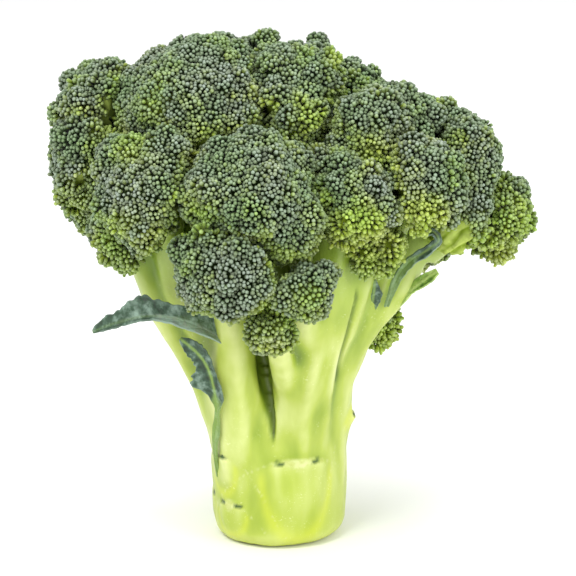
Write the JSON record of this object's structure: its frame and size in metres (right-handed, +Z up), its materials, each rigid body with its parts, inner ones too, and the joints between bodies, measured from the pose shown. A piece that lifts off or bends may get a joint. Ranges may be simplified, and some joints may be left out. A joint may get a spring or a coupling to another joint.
{
  "type": "head of broccoli",
  "caption": "Head of broccoli standing on its cut stalk, a thick branching stalk under a domed crown of tight green buds, with small leaves left on its sides.",
  "frame": {"origin": "the centre of the cut face of the stalk", "axes": "+Z up the stalk, -Y towards the side in the picture, +X to the right as seen from there"},
  "size_m": [0.1789, 0.1486, 0.1887],
  "materials": {
    "stalk": "smooth waxy green skin, paler on its ridges and at the cut",
    "buds": "matt grey-green buds with a waxy bloom, yellower low down",
    "leaf": "matt blue-green blade with pale veins"
  },
  "bodies": {
    "root": {"stalk": "stalk", "crown_front": "buds", "crown_front_low": "buds", "crown_left_front": "buds", "crown_left_low": "buds", "crown_left_edge": "buds", "crown_left_top": "buds", "crown_top": "buds", "crown_top_middle": "buds", "crown_top_right": "buds", "crown_right_upper": "buds", "crown_right": "buds", "crown_right_edge": "buds", "crown_right_front": "buds", "crown_centre_right": "buds", "crown_cleft": "buds", "crown_low_front": "buds", "crown_lowest": "buds", "crown_side_low": "buds", "crown_top_back": "buds", "crown_right_back": "buds", "crown_left_back": "buds", "crown_back": "buds", "crown_back_right": "buds", "crown_left_side": "buds", "crown_right_side": "buds", "crown_back_low": "buds", "leaf_long": "leaf", "leaf_hanging": "leaf", "leaf_curled": "leaf", "leaf_cut": "leaf", "leaf_inner": "leaf"}
  },
  "joints": []
}
